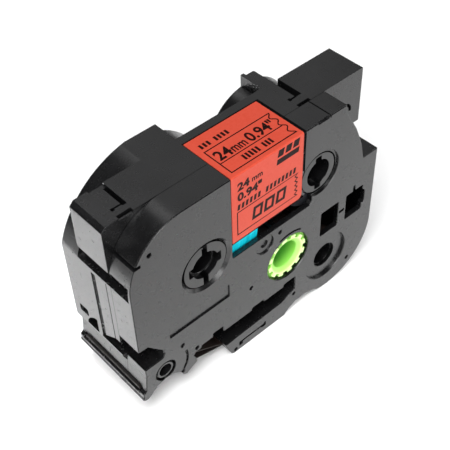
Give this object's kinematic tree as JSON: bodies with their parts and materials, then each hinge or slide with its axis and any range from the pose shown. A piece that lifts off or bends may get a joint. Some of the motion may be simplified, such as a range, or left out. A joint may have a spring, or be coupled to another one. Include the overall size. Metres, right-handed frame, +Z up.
{
  "type": "laminated label tape cassette",
  "caption": "Two-part label tape cassette: flat case with square rear corners, tape arm and head slot, holding adhesive, film and ribbon reels on their own spools.",
  "frame": {"origin": "middle of the bottom of the bounding box, on the surface that the cassette stands on", "axes": "+X along the length, from the tape exit end to the round end; +Y through the thickness, from the holed cover to the back plate; +Z up, from the arm's front edge to the rear edge"},
  "size_m": [0.0882, 0.0286, 0.0677],
  "materials": {
    "case_black": "satin",
    "label_red": "satin",
    "spool_black": "satin",
    "spool_green": "satin",
    "release_cyan": "satin",
    "spacer_cyan": "gloss",
    "clear_film": "gloss",
    "ink_ribbon": "gloss",
    "release_paper": "satin",
    "roller_grey": "satin",
    "spring_steel": "bright"
  },
  "bodies": {
    "case": {"top_case": "case_black", "bottom_case": "case_black", "cassette_label": "label_red", "adhesive_web": "release_paper", "film_web": "clear_film", "ink_ribbon_web": "ink_ribbon", "clutch_spring": "spring_steel", "ribbon_brake_spring": "spring_steel"},
    "adhesive_reel": {"adhesive_spool": "spool_black", "adhesive_tape_roll": "release_cyan", "spacer_disc_front": "spacer_cyan", "spacer_disc_back": "spacer_cyan"},
    "film_reel": {"film_spool": "spool_black", "film_roll": "clear_film"},
    "ribbon_reel": {"ribbon_spool": "spool_black", "ink_ribbon_roll": "ink_ribbon"},
    "take_up_reel": {"take_up_spool": "spool_green", "used_ribbon_roll": "ink_ribbon"},
    "tape_roller": {"feed_roller": "roller_grey"}
  },
  "joints": [
    {"name": "adhesive_reel_spin", "type": "hinge", "parent": "case", "child": "adhesive_reel", "pos_m": [-0.02, 0, 0.0441], "axis": [0, 1, 0], "continuous": true},
    {"name": "film_reel_spin", "type": "hinge", "parent": "case", "child": "film_reel", "pos_m": [0.0202, 0, 0.0496], "axis": [0, 1, 0], "continuous": true},
    {"name": "ribbon_reel_spin", "type": "hinge", "parent": "case", "child": "ribbon_reel", "pos_m": [0.0252, 0, 0.0134], "axis": [0, 1, 0], "continuous": true},
    {"name": "take_up_reel_spin", "type": "hinge", "parent": "case", "child": "take_up_reel", "pos_m": [0.0092, 0, 0.0253], "axis": [0, 1, 0], "continuous": true},
    {"name": "tape_roller_spin", "type": "hinge", "parent": "case", "child": "tape_roller", "pos_m": [-0.0359, 0, 0.015], "axis": [0, 1, 0], "continuous": true}
  ],
  "couplings": [
    {"joint": "film_reel_spin", "follows": "adhesive_reel_spin", "ratio": -1.693},
    {"joint": "tape_roller_spin", "follows": "adhesive_reel_spin", "ratio": -4.9487},
    {"joint": "take_up_reel_spin", "follows": "ribbon_reel_spin", "ratio": -0.8315}
  ]
}
